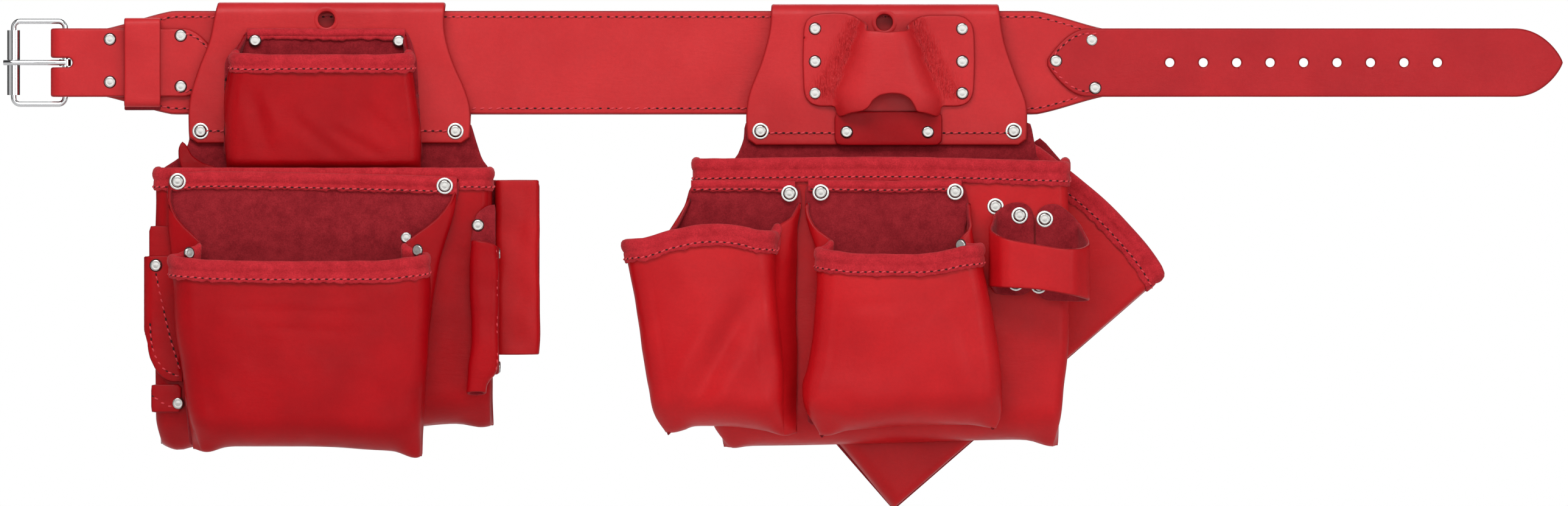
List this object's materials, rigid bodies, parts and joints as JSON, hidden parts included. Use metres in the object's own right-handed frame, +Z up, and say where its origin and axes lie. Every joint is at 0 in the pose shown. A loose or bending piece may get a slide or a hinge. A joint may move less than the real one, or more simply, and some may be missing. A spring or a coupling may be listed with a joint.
{
  "type": "tool belt",
  "caption": "Red leather work belt with a waist pad, roller buckle, punched tail strap and two sliding tool bags with pockets and holders.",
  "frame": {"origin": "middle of the waist pad's back face, where it rests on the wearer's back", "axes": "+X along the belt towards the punched tail, +Y from the pad towards the wearer, +Z up as worn"},
  "size_m": [1.156, 0.107, 0.3767],
  "materials": {
    "belt_leather": "smooth red leather, soft sheen, fine grain",
    "bag_leather": "deeper red smooth leather with fine wrinkles",
    "panel_suede": "red suede, matt with a soft nap",
    "lining_suede": "red suede lining, matt",
    "binding_suede": "folded suede strip, slightly frayed lower edge",
    "thread": "waxed red thread",
    "rivet_nickel": "nickel-plated rivet caps",
    "washer_nickel": "nickel-plated washers",
    "buckle_chrome": "bright chrome"
  },
  "bodies": {
    "belt_centre": {"pad_face_centre": "belt_leather", "pad_lining_centre": "lining_suede"},
    "belt_left": {"pad_face_left": "belt_leather", "pad_lining_left": "lining_suede", "buckle_strap": "belt_leather", "buckle_end_rivets": "rivet_nickel"},
    "belt_right": {"pad_face_right": "belt_leather", "pad_lining_right": "lining_suede", "tail_strap_base": "belt_leather", "tail_end_rivets": "rivet_nickel"},
    "keeper": {"keeper_loop": "belt_leather"},
    "buckle": {"buckle_frame": "buckle_chrome"},
    "prong": {"buckle_prong": "buckle_chrome"},
    "roller": {"buckle_roller": "buckle_chrome"},
    "left_bag": {"left_belt_tunnel": "bag_leather", "left_tunnel_rivets": "rivet_nickel", "left_tunnel_washers": "washer_nickel", "left_back_panel": "panel_suede", "top_pocket_back": "panel_suede", "top_pocket_body": "bag_leather", "top_pocket_binding": "binding_suede", "top_pocket_rivets": "rivet_nickel", "left_pouch_body": "bag_leather", "left_pouch_binding": "binding_suede", "front_pouch_back": "panel_suede", "front_pouch_body": "bag_leather", "front_pouch_binding": "binding_suede", "left_pouch_rivets": "rivet_nickel", "left_pouch_washers": "washer_nickel", "side_tool_loop": "bag_leather", "side_tool_band": "bag_leather", "tube_holder": "bag_leather", "flat_sheath": "bag_leather", "sheath_rivets": "rivet_nickel"},
    "right_bag": {"right_belt_tunnel": "bag_leather", "right_tunnel_rivets": "rivet_nickel", "right_tunnel_washers": "washer_nickel", "right_back_panel": "panel_suede", "formed_holder": "bag_leather", "formed_holder_rivets": "rivet_nickel", "right_pouch_body": "bag_leather", "right_pouch_binding": "binding_suede", "pocket_a_back": "panel_suede", "pocket_a_body": "bag_leather", "pocket_a_binding": "binding_suede", "pocket_b_back": "panel_suede", "pocket_b_body": "bag_leather", "pocket_b_binding": "binding_suede", "right_pouch_rivets": "rivet_nickel", "right_pouch_washers": "washer_nickel", "hammer_loop_back": "bag_leather", "hammer_loop_band": "bag_leather", "holster_front": "bag_leather", "holster_back": "bag_leather", "holster_binding": "binding_suede", "holster_rivets": "rivet_nickel"},
    "tail_1": {"tail_strap_1": "belt_leather"},
    "tail_2": {"tail_strap_2": "belt_leather"},
    "tail_3": {"tail_strap_3": "belt_leather"},
    "tail_4": {"tail_strap_tip": "belt_leather"}
  },
  "joints": [
    {"name": "belt_flex_left", "type": "hinge", "parent": "belt_centre", "child": "belt_left", "pos_m": [-0.03, 0, 0], "axis": [0, 0, -1], "range_deg": [-8, 35]},
    {"name": "belt_flex_right", "type": "hinge", "parent": "belt_centre", "child": "belt_right", "pos_m": [0.03, 0, 0], "axis": [0, 0, 1], "range_deg": [-8, 35]},
    {"name": "left_bag_slide", "type": "slide", "parent": "belt_left", "child": "left_bag", "axis": [1, 0, 0], "range_m": [-0.012, 0.02]},
    {"name": "right_bag_slide", "type": "slide", "parent": "belt_right", "child": "right_bag", "axis": [1, 0, 0], "range_m": [-0.02, 0.04]},
    {"name": "keeper_slide", "type": "slide", "parent": "belt_left", "child": "keeper", "axis": [1, 0, 0], "range_m": [-0.006, 0]},
    {"name": "buckle_swing", "type": "hinge", "parent": "belt_left", "child": "buckle", "pos_m": [-0.3998, -0.006, 0], "axis": [0, 0, 1], "range_deg": [-60, 25]},
    {"name": "prong_swing", "type": "hinge", "parent": "buckle", "child": "prong", "pos_m": [-0.3998, -0.006, 0], "axis": [0, 0, 1], "range_deg": [0, 60]},
    {"name": "roller_spin", "type": "hinge", "parent": "buckle", "child": "roller", "pos_m": [-0.438, -0.006, 0], "axis": [0, 0, 1], "continuous": true},
    {"name": "tail_flex_1", "type": "hinge", "parent": "belt_right", "child": "tail_1", "pos_m": [0.394, -0.00815, 0], "axis": [0, 0, 1], "range_deg": [-35, 35]},
    {"name": "tail_flex_2", "type": "hinge", "parent": "tail_1", "child": "tail_2", "pos_m": [0.4812, -0.00815, 0], "axis": [0, 0, 1], "range_deg": [-35, 35]},
    {"name": "tail_flex_3", "type": "hinge", "parent": "tail_2", "child": "tail_3", "pos_m": [0.5556, -0.00815, 0], "axis": [0, 0, 1], "range_deg": [-35, 35]},
    {"name": "tail_flex_4", "type": "hinge", "parent": "tail_3", "child": "tail_4", "pos_m": [0.63, -0.00815, 0], "axis": [0, 0, 1], "range_deg": [-35, 35]}
  ]
}
